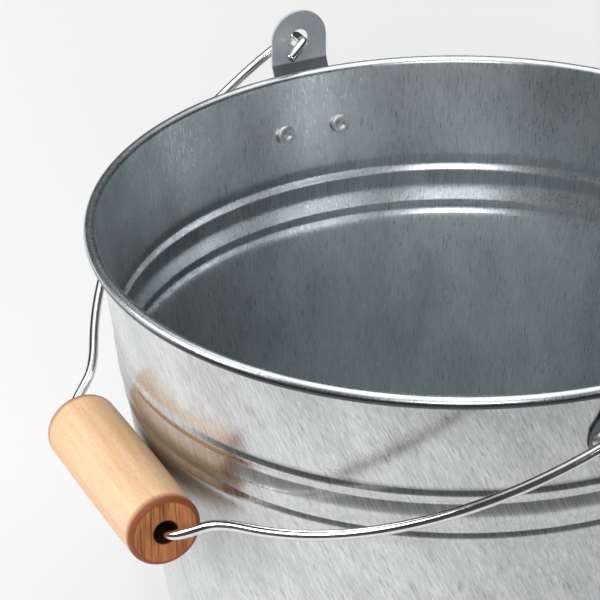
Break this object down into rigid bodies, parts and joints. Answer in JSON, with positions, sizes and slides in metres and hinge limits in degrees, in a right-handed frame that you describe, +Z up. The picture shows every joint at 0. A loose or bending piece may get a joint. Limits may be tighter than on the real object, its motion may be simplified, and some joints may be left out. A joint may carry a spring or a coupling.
{
  "type": "florist bucket",
  "caption": "Tapered galvanised steel florist bucket with rolled wired rim, pressed ridges, riveted ears and a swinging wire bail with a turned wooden grip.",
  "frame": {"origin": "centre of the bottom panel's underside, on the bucket's axis; the hemmed foot reaches 5 mm below it", "axes": "+Z up the bucket's axis, X through the two ears, and the bail hangs down the -Y side at rest"},
  "size_m": [0.3262, 0.3022, 0.2745],
  "materials": {
    "galvanised_steel": "hot-dip galvanised sheet, satin, with fine drawn streaks",
    "ear_steel": "matt plated pressed steel",
    "rivet_steel": "plain rivet, satin",
    "bright_wire": "bright nickel-plated wire",
    "beech": "turned beech, lightly waxed"
  },
  "bodies": {
    "bucket": {"bucket_wall": "galvanised_steel", "bottom_panel": "galvanised_steel", "rim_wire": "galvanised_steel", "left_ear": "ear_steel", "right_ear": "ear_steel", "left_rivet_1": "rivet_steel", "left_rivet_2": "rivet_steel", "right_rivet_1": "rivet_steel", "right_rivet_2": "rivet_steel"},
    "bail": {"bail": "bright_wire"},
    "grip": {"grip": "beech"}
  },
  "joints": [
    {"name": "bail_swing", "type": "hinge", "parent": "bucket", "child": "bail", "pos_m": [0, 0, 0.2573], "axis": [-1, 0, 0], "range_deg": [0, 244.3]},
    {"name": "grip_spin", "type": "hinge", "parent": "bail", "child": "grip", "pos_m": [0.0052, -0.14391, 0.1668], "axis": [1, 0, 0], "continuous": true}
  ]
}
